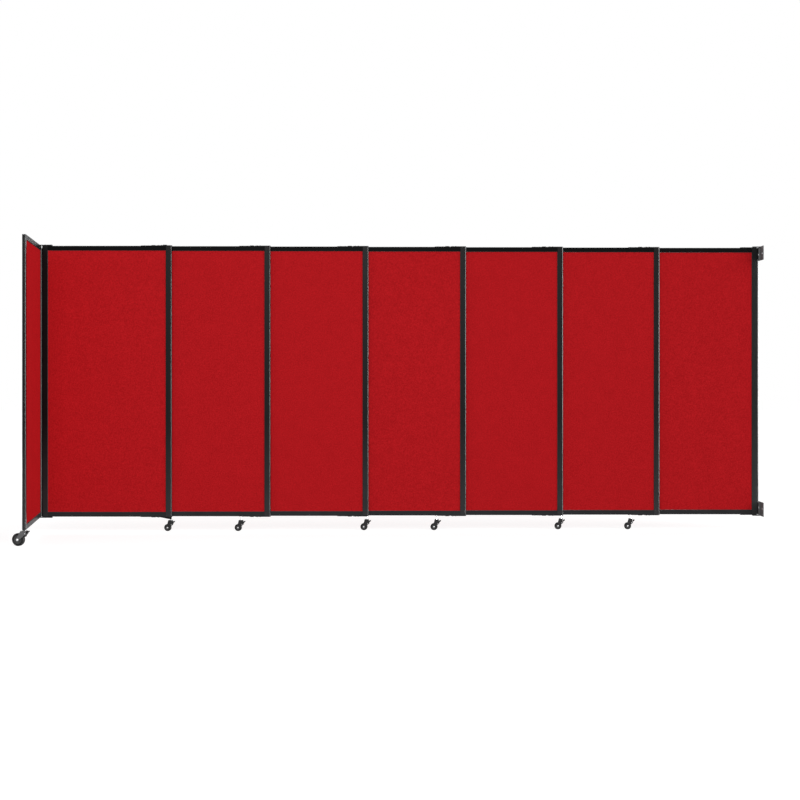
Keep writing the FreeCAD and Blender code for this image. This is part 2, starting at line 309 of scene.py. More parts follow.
class Painter(Bench):
    """Adds nodes to one material around its Principled BSDF."""

    # A Mix node has sockets of several kinds under one name; these are its colours.
    MIX_LOW, MIX_HIGH, MIX_RESULT = 6, 7, 2

    def __init__(self, material: bpy.types.Material) -> None:
        """Start on a material's node tree."""
        super().__init__(material.node_tree)
        self.shader = next(n for n in self.tree.nodes if n.type == "BSDF_PRINCIPLED")

    def set(self, **inputs: object) -> None:
        """Put sockets or values on the shader's inputs, named with _ for a space."""
        self.fill(self.shader, **inputs)

    def effect(self, effect: Effect, **inputs: object) -> Sockets:
        """Place a shared effect.

        Args:
            effect: The effect.
            **inputs: Values for its inputs.

        Returns:
            Its outputs.
        """
        node = self.add("Group")
        node.node_tree = EffectBench.group(effect)
        self.fill(node, **inputs)
        return node.outputs

    def blend(self, factor: Socket, low: object, high: Colour) -> Socket:
        """Blend two colours by a mask.

        Args:
            factor: The mask.
            low: Colour, or a socket of one, where the mask is 0.
            high: Colour where it is 1.

        Returns:
            The blended colour.
        """
        node = self.add("Mix")
        node.data_type = "RGBA"
        self.fill(node, Factor=factor)
        self.put(low if isinstance(low, Socket) else (*low, 1.0), node.inputs[self.MIX_LOW])
        self.put((*high, 1.0), node.inputs[self.MIX_HIGH])
        return node.outputs[self.MIX_RESULT]

    def span(self, value: Socket, low: float, high: float) -> Socket:
        """A value from 0 to 1 mapped to the range from low to high."""
        return self.add("MapRange", Value=value, To_Min=low, To_Max=high).outputs["Result"]

    def bump(self, height: Socket, relief: float, raised: float) -> Socket:
        """A normal raised by a height, with the relief in metres and the share that shows."""
        node = self.add("Bump", Height=height, Distance=relief, Strength=raised)
        return node.outputs["Normal"]


@dataclass(frozen=True)
class Finish:
    """A named finish that becomes one material."""

    name: str
    colour: Colour

    def material(self) -> bpy.types.Material:
        """Find or build the finish's material.

        Returns:
            The material.
        """
        made = bpy.data.materials.get(self.name)
        if made is None:
            made = bpy.data.materials.new(self.name)
            made.use_nodes = True
            self.paint(Painter(made))
        return made

    def shade(self, factor: float) -> Colour:
        """The finish's colour made lighter or darker."""
        return tuple(channel * factor for channel in self.colour)

    def paint(self, painter: Painter) -> None:
        """Lay the finish on a material; each kind of finish has its own way."""
        raise NotImplementedError


@dataclass(frozen=True)
class Felt(Finish):
    """Pressed felt with a mottled tone."""

    deep: Colour = (0.15, 0.0015, 0.002)
    rough: Pair = (0.98, 0.86)
    relief: float = 0.6 * MM
    raised: float = 0.5

    def paint(self, painter: Painter) -> None:
        """Mottle the colour and raise the fibres.

        Args:
            painter: Nodes of the material.
        """
        fibres = painter.effect(Effect.FELT)
        painter.set(
            Base_Color=painter.blend(fibres["Tone"], self.deep, self.colour),
            Roughness=painter.span(fibres["Tone"], *self.rough),
            Specular_IOR_Level=0.0,
            Normal=painter.bump(fibres["Height"], self.relief, self.raised),
        )


@dataclass(frozen=True)
class Extrusion(Finish):
    """Black anodised extrusion with lines drawn along it."""

    stretch: Point
    specular: float = 0.1
    lines: float = 900.0
    tones: Pair = (0.7, 1.3)
    rough: Pair = (0.28, 0.38)
    dust: Colour = (0.045, 0.046, 0.048)
    dust_top: float = 0.7
    dust_amount: float = 0.6
    relief: float = 0.05 * MM
    raised: float = 0.25

    def paint(self, painter: Painter) -> None:
        """Draw the die's lines and lay dust near the floor.

        Args:
            painter: Nodes of the material.
        """
        lines = painter.effect(Effect.GRAIN, Stretch=self.stretch, Scale=self.lines)
        dust = painter.effect(Effect.DUST, Top=self.dust_top, Amount=self.dust_amount)
        toned = painter.blend(lines["Broad"], *map(self.shade, self.tones))
        painter.set(
            Base_Color=painter.blend(dust["Mask"], toned, self.dust),
            Roughness=painter.span(lines["Value"], *self.rough),
            Specular_IOR_Level=self.specular,
            Normal=painter.bump(lines["Value"], self.relief, self.raised),
        )


@dataclass(frozen=True)
class Coat(Finish):
    """Powder coat or moulded plastic: a pebbled skin with scuffs."""

    gloss: float = 0.5
    uneven: Pair = (-0.08, 0.1)
    pebble: float = 900.0
    relief: float = 0.12 * MM
    raised: float = 0.4
    tones: Pair = (0.75, 1.25)
    scuffs: float = 0.5
    rubbed: Colour = (0.024, 0.024, 0.025)
    specular: float = 0.4

    def paint(self, painter: Painter) -> None:
        """Pebble the skin and rub it here and there.

        Args:
            painter: Nodes of the material.
        """
        skin = painter.effect(Effect.GRAIN, Scale=self.pebble)
        marks = painter.effect(Effect.SCUFF, Amount=self.scuffs)
        toned = painter.blend(skin["Broad"], *map(self.shade, self.tones))
        painter.set(
            Base_Color=painter.blend(marks["Mask"], toned, self.rubbed),
            Roughness=painter.span(skin["Value"], *(self.gloss + step for step in self.uneven)),
            Specular_IOR_Level=self.specular,
            Normal=painter.bump(skin["Value"], self.relief, self.raised),
        )


@dataclass(frozen=True)
class Metal(Finish):
    """Bare or plated metal with smudges."""

    gloss: float = 0.18
    smudge: float = 0.16
    grain: float = 260.0
    scuff_scale: float = 160.0
    scuffs: float = 0.6
    scuff_tone: float = 0.6
    relief: float = 0.02 * MM
    raised: float = 0.3

    def paint(self, painter: Painter) -> None:
        """Smudge the gloss and dull a few marks.

        Args:
            painter: Nodes of the material.
        """
        skin = painter.effect(Effect.GRAIN, Scale=self.grain)
        marks = painter.effect(Effect.SCUFF, Scale=self.scuff_scale, Amount=self.scuffs)
        painter.set(
            Base_Color=painter.blend(marks["Mask"], self.colour, self.shade(self.scuff_tone)),
            Roughness=painter.span(skin["Value"], self.gloss, self.gloss + self.smudge),
            Metallic=1.0,
            Normal=painter.bump(skin["Value"], self.relief, self.raised),
        )


ANODISED: Colour = (0.0042, 0.0042, 0.0045)
RAIL_SPECULAR = 0.018

FELT = Felt("red_pressed_felt", (0.66, 0.018, 0.024))
POST_BLACK = Extrusion("black_anodised_post", ANODISED, (1.0, 1.0, 0.01))
RAIL_BLACK = Extrusion("black_anodised_rail", ANODISED, (0.01, 1.0, 1.0), RAIL_SPECULAR)
END_RAIL_BLACK = Extrusion("black_anodised_end_rail", ANODISED, (0.1, 0.01, 1.0), RAIL_SPECULAR)
BLACK_COAT = Coat("black_powder_coat", (0.005, 0.005, 0.0053), gloss=0.52, specular=0.1)
GREY_COAT = Coat("grey_powder_coat", (0.17, 0.17, 0.174), gloss=0.6,
                 rubbed=(0.21, 0.21, 0.21), specular=0.0)
SMALL_FORK_COAT = Coat("dark_caster_coat", (0.016, 0.016, 0.0165), gloss=0.45, specular=0.2)
LARGE_FORK_COAT = Coat("grey_caster_coat", (0.1, 0.1, 0.103), gloss=0.4,
                       rubbed=(0.26, 0.26, 0.26))
BLACK_PLASTIC = Coat("black_moulded_plastic", (0.009, 0.009, 0.0095), gloss=0.48,
                     pebble=1400.0, relief=0.05 * MM, specular=0.12)
BEAD_VINYL = Coat("dark_vinyl_bead", (0.026, 0.026, 0.027),
                  pebble=600.0, relief=0.03 * MM, specular=0.12)
TYRE_RUBBER = Coat("black_tyre_rubber", (0.01, 0.01, 0.01), gloss=0.72,
                   pebble=500.0, rubbed=(0.045, 0.044, 0.042), specular=0.16)
HUB_PLASTIC = Coat("grey_hub_plastic", (0.026, 0.026, 0.0265), pebble=1200.0, relief=0.04 * MM)
BRIGHT_STEEL = Metal("bright_plated_steel", (0.78, 0.78, 0.79))
DULL_STEEL = Metal("dull_plated_steel", (0.18, 0.18, 0.184), gloss=0.46)
ZINC_STEEL = Metal("zinc_plated_steel", (0.46, 0.46, 0.47), gloss=0.3, smudge=0.2)
DARK_STEEL = Metal("blackened_steel", (0.06, 0.06, 0.062), gloss=0.34)


class Shape:
    """A mesh in the making, in the row frame."""

    WELD = 0.004 * MM
    FLAT_ANGLE = math.radians(0.5)
    EASE_ANGLE = math.radians(28)
    SHARP_ANGLE = math.radians(40)
    EASE_STEPS, EASE_PROFILE = 2, 0.6

    def __init__(self) -> None:
        """Start empty."""
        self.mesh = bmesh.new()

    @classmethod
    def copied(cls, node: str) -> "Shape":
        """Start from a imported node's form, joined up and free of triangles on flat faces.

        Args:
            node: The node's name.

        Returns:
            The new shape.
        """
        shape = cls()
        mesh, data = shape.mesh, frame["nodes"][node].data
        points = [mesh.verts.new(vertex.co) for vertex in data.vertices]
        for polygon in data.polygons:
            mesh.faces.new([points[i] for i in polygon.vertices])
        bmesh.ops.remove_doubles(mesh, verts=mesh.verts, dist=cls.WELD)
        bmesh.ops.dissolve_limit(mesh, angle_limit=cls.FLAT_ANGLE, verts=mesh.verts,
                                 edges=mesh.edges)
        return shape

    def turned(self, rings: Sequence[Pair], place: Matrix, sides: int,
               closed: bool = False) -> None:
        """Add a form turned about the local Z axis.

        Args:
            rings: Radius and height of each ring in order; a radius of 0 ends in a point.
            place: Local to row frame.
            sides: Steps round the axis.
            closed: Whether the last ring joins the first, as round a bore.
        """
        turn = 2 * math.pi / sides
        loops = []
        for radius, height in rings:
            steps = 1 if radius == 0.0 else sides
            ring = [Vector((radius * math.cos(i * turn), radius * math.sin(i * turn), height))
                    for i in range(steps)]
            loops.append([self.mesh.verts.new(place @ point) for point in ring])
        pairs = list(zip(loops, loops[1:]))
        if closed:
            pairs.append((loops[-1], loops[0]))
        for low, high in pairs:
            for i in range(sides):
                k = (i + 1) % sides
                corners = [low[i % len(low)], low[k % len(low)],
                           high[k % len(high)], high[i % len(high)]]
                self.mesh.faces.new(list(dict.fromkeys(corners)))

    def prism(self, outline: Sequence[Pair], low: float, high: float, place: Matrix) -> None:
        """Add an outline in local XY drawn along local Z.

        Args:
            outline: Corners in order.
            low: Start height.
            high: End height.
            place: Local to row frame.
        """
        feet = [self.mesh.verts.new(place @ Vector((x, y, low))) for x, y in outline]
        tops = [self.mesh.verts.new(place @ Vector((x, y, high))) for x, y in outline]
        self.mesh.faces.new(list(reversed(feet)))
        self.mesh.faces.new(tops)
        for i in range(len(outline)):
            k = (i + 1) % len(outline)
            self.mesh.faces.new([feet[i], feet[k], tops[k], tops[i]])

    def ease(self, width: float) -> None:
        """Round the sharp edges.

        Args:
            width: Size of the rounding in metres.
        """
        bmesh.ops.recalc_face_normals(self.mesh, faces=self.mesh.faces)
        sharp = [edge for edge in self.mesh.edges
                 if len(edge.link_faces) == 2 and edge.calc_face_angle(0.0) > self.EASE_ANGLE]
        bmesh.ops.bevel(self.mesh, geom=sharp, offset=width, segments=self.EASE_STEPS,
                        profile=self.EASE_PROFILE, affect="EDGES", clamp_overlap=True)

    def piece(self, name: str, finish: Finish, body: str, slot: Slot,
              replaces: Iterable[str] = ()) -> None:
        """Turn the shape into a piece that rides on a body.

        Args:
            name: Name of the piece.
            finish: Its finish.
            body: The body that it moves with.
            slot: The record's material slot; it is not used.
            replaces: Nodes that it stands for.
        """
        bmesh.ops.recalc_face_normals(self.mesh, faces=self.mesh.faces)
        for face in self.mesh.faces:
            face.smooth = True
        for edge in self.mesh.edges:
            edge.smooth = edge.calc_face_angle(0.0) < self.SHARP_ANGLE
        data = bpy.data.meshes.new(name)
        self.mesh.to_mesh(data)
        self.mesh.free()
        data.materials.append(finish.material())
        made = bpy.data.objects.new(name, data)
        bpy.context.scene.collection.objects.link(made)
        even = made.modifiers.new("even_normals", "WEIGHTED_NORMAL")
        even.keep_sharp = True
        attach(made, body)
        for node in replaces:
            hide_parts(node)
        LOG.info("%s rides on %s", name, body)


def eased_copy(node: str, finish: Finish, body: str, slot: Slot, width: float) -> None:
    """Stand in for a node with a copy whose edges are rounded.

    Args:
        node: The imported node.
        finish: Finish of the copy.
        body: The body that it rides on.
        slot: The record's material slot.
        width: Size of the rounding in metres.
    """
    shape = Shape.copied(node)
    shape.ease(width)
    shape.piece(node + "_eased", finish, body, slot, [node])


def joint(name: str) -> dict:
    """The record's joint of that name."""
    return next(j for j in frame["joints"] if j["name"] == name)


@dataclass(frozen=True)
class Place:
    """A local frame: X along a panel or caster, Y across it, turned about Z."""

    origin: Vector
    angle: float = 0.0

    def matrix(self) -> Matrix:
        """Local to row frame."""
        return Matrix.Translation(self.origin) @ Matrix.Rotation(self.angle, 4, "Z")

    def points(self, node: str) -> list[Vector]:
        """A node's corners in this frame."""
        back = self.matrix().inverted()
        return [back @ vertex.co for vertex in frame["nodes"][node].data.vertices]

    def box(self, node: str) -> tuple[Vector, Vector]:
        """Measure a node in this frame.

        Args:
            node: The node's name.

        Returns:
            Its lowest and highest corners.
        """
        points = self.points(node)
        low = Vector([min(p[i] for p in points) for i in range(3)])
        high = Vector([max(p[i] for p in points) for i in range(3)])
        return low, high

    def seat(self, x: float, y: float, z: float, facing: Facing = Facing.UP) -> Matrix:
        """From a seat at a local point, whose Z axis points the way it faces, to the row frame."""
        turn = Matrix.Rotation(facing.value, 4, "X")
        return self.matrix() @ Matrix.Translation((x, y, z)) @ turn


def dome(skirt: float, *arc: float) -> list[Pair]:
    """Rings of a head with a skirt and a dome, in shares; the arc's steps are in radians."""
    steps = [(math.cos(a), skirt + (1.0 - skirt) * math.sin(a)) for a in arc]
    return [(0.0, 0.0), (1.0, 0.0), *steps]


class Head(Enum):
    """Sides and profile of each fastener, as shares of radius and height; BORE is its hole."""

    SCREW = (24, [*dome(0.25, 0.0, 0.4, 0.8, 1.1), (0.42, 0.93), (0.38, 0.45), (0.0, 0.4)])
    RIVET = (24, [*dome(0.2, 0.0, 0.45, 0.9, 1.3), (0.0, 1.0)])
    NUT = (6, [(BORE, 0.0), (1.0, 0.0), (1.0, 0.85), (0.86, 1.0), (BORE, 1.0)])
    RING = (32, [(BORE, 0.0), (0.97, 0.0), (1.0, 0.3), (1.0, 0.7), (0.97, 1.0), (BORE, 1.0)])


@dataclass
class Fasteners:
    """Screws, rivets and nuts of one body, gathered into one piece."""

    body: str
    finish: Finish
    slot: Slot
    shape: Shape = field(default_factory=Shape)
    count: int = 0

    def add(self, head: Head, seat: Matrix, radius: float, height: float,
            bore: float = 0.0) -> None:
        """Add one fastener.

        Args:
            head: Its kind.
            seat: Where it sits, with Z pointing out.
            radius: Outer radius, to the corners of a nut.
            height: Of the head.
            bore: Radius of the hole, if it has one.
        """
        sides, shares = head.value
        rings = [(bore if across == BORE else across * radius, up * height)
                 for across, up in shares]
        self.shape.turned(rings, seat, sides, closed=bore > 0.0)
        self.count += 1

    def finish_up(self, name: str) -> None:
        """Turn what was gathered into a piece, if there is any."""
        if self.count:
            self.shape.piece(name, self.finish, self.body, self.slot)


@dataclass(frozen=True)
class GuideLayout:
    """Where block and screws sit on a guide bracket, as shares of its length."""

    block: float
    screws: Pair


GUIDE_LAYOUTS = {
    Side.LEFT: GuideLayout(0.8, (0.2, 0.5)),
    Side.RIGHT: GuideLayout(0.45, (0.67, 0.86)),
}


@dataclass
class Panel:
    """One framed felt board with its guides."""

    # The first panel has guides at one end only, so their box is as long as a bracket.
    GUIDE_SAMPLE = "panel_1_guides"
    FRONT, BACK = -1.0, 1.0

    name: str
    place: Place
    guides: Sequence[Side] = ()
    blocks: Sequence[Side] = (Side.LEFT,)
    edge: float = 0.7 * MM
    plate_edge: float = 0.5 * MM
    bead: float = 2.4 * MM
    bead_shoulder: Pair = (0.75, 0.7)
    wave: float = 0.35 * MM
    wave_turns: Pair = (5.3, 9.1)
    felt_step: float = 0.07
    least_steps: int = 4
    block_length: float = 25.0 * MM
    block_width: float = 13.0 * MM
    block_height: float = 3.6 * MM
    block_edge: float = 1.0 * MM
    screw_radius: float = 3.6 * MM
    screw_height: float = 2.6 * MM
    low_head: float = 1.8 * MM
    rail_finish: Finish = RAIL_BLACK
    screws: Fasteners = field(init=False)

    def __post_init__(self) -> None:
        """Read the panel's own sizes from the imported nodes."""
        self.low, self.high = self.place.box(self.name + "_posts")
        self.rail_low, self.rail_high = self.place.box(self.name + "_rails")
        middle = (self.low.z + self.high.z) / 2
        rails = self.place.points(self.name + "_rails")
        self.sill = max(p.z for p in rails if p.z < middle)
        self.head = self.low.z + self.high.z - self.sill
        self.screws = Fasteners(self.name, DARK_STEEL, Slot.HARDWARE)

    def build(self) -> None:
        """Build and dress every piece of the panel."""
        self.dress("posts", POST_BLACK, Slot.FRAME, self.edge)
        self.dress("rails", self.rail_finish, Slot.FRAME, self.edge)
        self.build_board()
        self.build_beads()
        if self.guides:
            self.build_guides()
        self.build_hardware()
        self.screws.finish_up(self.name + "_screws")

    def dress(self, part: str, finish: Finish, slot: Slot, width: float) -> str:
        """Stand in for one of the panel's nodes with a rounded copy.

        Args:
            part: The node's name without the panel's.
            finish: Finish of the copy.
            slot: The record's material slot.
            width: Size of the rounding in metres.

        Returns:
            The node's name.
        """
        node = f"{self.name}_{part}"
        eased_copy(node, finish, self.name, slot, width)
        return node

    def build_board(self) -> None:
        """Lay the felt board: a slab whose faces swell and dip a little."""
        low, high = self.place.box(self.name + "_board")
        columns, rows = (max(self.least_steps, round(length / self.felt_step))
                         for length in (high.x - low.x, high.z - low.z))
        shape = Shape()
        front, back = (self.lay_felt(shape, (low, high), columns, rows, out)
                       for out in (self.FRONT, self.BACK))
        pitch = rows + 1
        edge = [i * pitch for i in range(columns)]
        edge += [columns * pitch + k for k in range(rows)]
        edge += [i * pitch + rows for i in range(columns, 0, -1)]
        edge += range(rows, 0, -1)
        for a, b in zip(edge, edge[1:] + edge[:1]):
            shape.mesh.faces.new([front[a], back[a], back[b], front[b]])
        replaced = [self.name + "_board"]
        shape.piece(self.name + "_felt_board", FELT, self.name, Slot.FELT, replaced)

    def lay_felt(self, shape: Shape, box: tuple[Vector, Vector], columns: int, rows: int,
                 out: float) -> list[bmesh.types.BMVert]:
        """Lay one face of the board as a grid.

        Args:
            shape: The board.
            box: Its lowest and highest corners.
            columns: Steps along the panel.
            rows: Steps up.
            out: The way the face looks, FRONT or BACK.

        Returns:
            The grid's points, column by column.
        """
        low, high = box
        width, rise = high.x - low.x, high.z - low.z
        matrix = self.place.matrix()
        y = low.y if out == self.FRONT else high.y
        along, up = self.wave_turns
        grid = []
        for i in range(columns + 1):
            for k in range(rows + 1):
                s, t = i / columns, k / rows
                swell = math.sin(math.pi * s) * math.sin(math.pi * t)
                dip = math.sin(along * s + out) * math.cos(up * t) - 1.0
                felt = y + out * self.wave * swell * dip
                point = Vector((low.x + s * width, felt, low.z + t * rise))
                grid.append(shape.mesh.verts.new(matrix @ point))
        for i in range(columns):
            for k in range(rows):
                a = i * (rows + 1) + k
                b = a + rows + 1
                shape.mesh.faces.new([grid[a], grid[b], grid[b + 1], grid[a + 1]])
        return grid

    def build_beads(self) -> None:
        """Run a glazing bead round the board's opening on both faces."""
        low, high = self.place.box(self.name + "_board")
        left, right = self.rail_low.x, self.rail_high.x
        corners = [(left, self.sill), (right, self.sill), (right, self.head), (left, self.head)]
        inward = [(1, 1), (-1, 1), (-1, -1), (1, -1)]
        shoulder = tuple(share * self.bead for share in self.bead_shoulder)
        profile = [(0.0, 0.0), (self.bead, 0.0), shoulder, (0.0, self.bead)]
        shape = Shape()
        matrix = self.place.matrix()
        for y, out in ((low.y, self.FRONT), (high.y, self.BACK)):
            loops = []
            for (x, z), (dx, dz) in zip(corners, inward):
                points = [Vector((x + dx * reach, y + out * rise, z + dz * reach))
                          for reach, rise in profile]
                loops.append([shape.mesh.verts.new(matrix @ point) for point in points])
            for a, b in zip(loops, loops[1:] + loops[:1]):
                for i in range(len(profile)):
                    k = (i + 1) % len(profile)
                    shape.mesh.faces.new([a[i], b[i], b[k], a[k]])
        shape.piece(self.name + "_beads", BEAD_VINYL, self.name, Slot.FRAME)

    def build_guides(self) -> None:
        """Dress the guide brackets with glide blocks and screws, top and bottom."""
        node = self.dress("guides", BLACK_COAT, Slot.HARDWARE, self.plate_edge)
        low, high = self.place.box(self.GUIDE_SAMPLE)
        length = high.x - low.x
        x, y = self.block_length / 2, self.block_width / 2
        outline = [(-x, -y), (x, -y), (x, y), (-x, y)]
        blocks = Shape()
        for side in self.guides:
            start = self.low.x if side is Side.LEFT else self.high.x
            layout = GUIDE_LAYOUTS[side]
            for z, facing in self.plate_faces(node):
                if side in self.blocks:
                    middle = start + side.value * layout.block * length
                    seat = self.place.seat(middle, 0.0, z, facing)
                    blocks.prism(outline, 0.0, self.block_height, seat)
                for share in layout.screws:
                    seat = self.place.seat(start + side.value * share * length, 0.0, z, facing)
                    self.screws.add(Head.SCREW, seat, self.screw_radius, self.screw_height)
        blocks.ease(self.block_edge)
        blocks.piece(self.name + "_glide_blocks", BLACK_PLASTIC, self.name, Slot.HARDWARE)

    def build_hardware(self) -> None:
        """Dress what only some panels carry."""

    def plate_faces(self, node: str) -> list[tuple[float, Facing]]:
        """Heights of a node's top and mirrored bottom plate, and the way each faces."""
        top = self.place.box(node)[1].z
        return [(top, Facing.UP), (self.low.z + self.high.z - top, Facing.DOWN)]

    def plate_screws(self, node: str, places: Iterable[float]) -> None:
        """Screw a top and a bottom plate down.

        Args:
            node: The node that holds both plates.
            places: Distances along the panel.
        """
        for z, facing in self.plate_faces(node):
            for x in places:
                seat = self.place.seat(x, 0.0, z, facing)
                self.screws.add(Head.SCREW, seat, self.screw_radius, self.low_head)


@dataclass
class HingedPanel(Panel):
    """First panel of the row, with the bars that carry the end panel."""

    SEAL_SIDES = 20

    screw_shares: Pair = (0.3, 0.88)
    seal_radius: float = 2.45 * MM
    seal_out: float = 0.6 * MM
    seal_forward: float = 5.5 * MM
    seal_top_gap: float = 14.0 * MM
    seal_foot_gap: float = 1.0 * MM
    seal_tip: float = 0.6 * MM
    seal_tip_share: float = 0.8

    def build_hardware(self) -> None:
        """Dress the hinge bars and close the hinge's gap with a seal."""
        self.build_seal()
        node = self.dress("hinge_bars", BLACK_COAT, Slot.HARDWARE, self.plate_edge)
        reach = self.place.box(node)[1].x - self.low.x
        self.plate_screws(node, [self.low.x + share * reach for share in self.screw_shares])

    def build_seal(self) -> None:
        """Run a soft bulb strip down the front corner of the post's outer edge."""
        seal = Shape()
        place = self.place.seat(self.low.x - self.seal_out, -self.seal_forward, 0.0)
        foot, top = self.low.z + self.seal_foot_gap, self.high.z - self.seal_top_gap
        radius, tip = self.seal_radius, self.seal_tip_share * self.seal_radius
        rings = [(0.0, foot), (tip, foot), (radius, foot + self.seal_tip),
                 (radius, top - self.seal_tip), (tip, top), (0.0, top)]
        seal.turned(rings, place, self.SEAL_SIDES)
        seal.piece(self.name + "_hinge_seal", TYRE_RUBBER, self.name, Slot.FRAME)


@dataclass
class CasterPanel(Panel):
    """Panel that stands on two casters."""

    stem_edge: float = 0.3 * MM
    nut_radius: float = 7.0 * MM
    nut_height: float = 4.5 * MM
    nut_play: float = 0.05 * MM

    def build_hardware(self) -> None:
        """Dress the caster stems and lock them with nuts under the rail."""
        node = self.dress("caster_stems", BRIGHT_STEEL, Slot.BRIGHT, self.stem_edge)
        low, high = self.place.box(node)
        radius = (high.y - low.y) / 2
        nuts = Fasteners(self.name, BRIGHT_STEEL, Slot.BRIGHT)
        for x in (low.x + radius, high.x - radius):
            seat = self.place.seat(x, 0.0, high.z, Facing.DOWN)
            nuts.add(Head.NUT, seat, self.nut_radius, self.nut_height, radius + self.nut_play)
        nuts.finish_up(self.name + "_stem_nuts")


@dataclass
class WallPanel(Panel):
    """Last panel of the row, with the leaves that turn on the brackets."""

    screw_gaps: Pair = (11 * MM, 27 * MM)

    def build_hardware(self) -> None:
        """Dress the leaves and screw them down."""
        node = self.dress("wall_leaves", BLACK_COAT, Slot.HARDWARE, self.plate_edge)
        low = self.place.box(node)[0].x
        self.plate_screws(node, [low + gap for gap in self.screw_gaps])


@dataclass
class EndPanel(Panel):
    """Panel that swings on the row's left end."""

    rail_finish: Finish = END_RAIL_BLACK
    plate_edge: float = 0.4 * MM
    stem_edge: float = 0.4 * MM
    pin_clear: float = 15 * MM
    screw_gaps: Pair = (22 * MM, 38 * MM)

    def build_hardware(self) -> None:
        """Dress the pivot plates and the large caster's stem."""
        plates = self.dress("pivot_plates", BLACK_COAT, Slot.HARDWARE, self.plate_edge)
        self.dress("caster_stem", DULL_STEEL, Slot.BRIGHT, self.stem_edge)
        heads = Fasteners(self.name, DARK_STEEL, Slot.HARDWARE)
        pin = self.place.matrix().inverted() @ Vector(joint("end_hinge")["pos_m"])
        flats = [p.z for p in self.place.points(plates) if pin.x - p.x > self.pin_clear]
        for z, facing in ((max(flats), Facing.UP), (min(flats), Facing.DOWN)):
            for gap in self.screw_gaps:
                seat = self.place.seat(pin.x - gap, 0.0, z, facing)
                heads.add(Head.SCREW, seat, self.screw_radius, self.low_head)
        heads.finish_up(self.name + "_plate_screws")


@dataclass
class WallMount:
    """Brackets that hold the row's fixed end."""

    body: str = "wall_mount"
    node: str = "wall_brackets"
    edge: float = 0.6 * MM
    head_radius: float = 6.5 * MM
    head_height: float = 3.5 * MM
    shank_share: float = 0.94
    shank_sides: int = 24
    near_up: float = 60 * MM
    near_across: float = 70 * MM
    plate_range: Pair = (1 * MM, 20 * MM)

    def build(self) -> None:
        """Dress the brackets and put bolts in their holes."""
        eased_copy(self.node, GREY_COAT, self.body, Slot.WALL, self.edge)
        bolts = Fasteners(self.body, ZINC_STEEL, Slot.WALL)
        facing = Matrix.Rotation(-math.pi / 2, 4, "Y")
        for mount in frame["record"]["mounts"]:
            if mount["kind"] != "bolt_pattern":
                continue
            middle = Vector(mount["pos_m"])
            half = mount["dims"]["spacing_x_mm"] * MM / 2
            shank = mount["dims"]["hole_r_mm"] * MM * self.shank_share
            inner = self.plate_face(middle)
            depth = middle.x - inner
            rings = [(0.0, -depth), (shank, -depth), (shank, 0.0), (0.0, 0.0)]
            for side in (-half, half):
                seat = Matrix.Translation((inner, middle.y + side, middle.z)) @ facing
                bolts.add(Head.SCREW, seat, self.head_radius, self.head_height)
                bolts.shape.turned(rings, seat, self.shank_sides)
        bolts.finish_up("wall_bolts")

    def plate_face(self, hole: Vector) -> float:
        """Find the plate's inner face next to a hole.

        Args:
            hole: Middle of the holes in the plate's outer face.

        Returns:
            Where the inner face lies along X.
        """
        near = [v.co.x for v in frame["nodes"][self.node].data.vertices
                if abs(v.co.z - hole.z) < self.near_up and abs(v.co.y - hole.y) < self.near_across]
        least, most = self.plate_range
        return max(x for x in near if hole.x - most < x < hole.x - least)


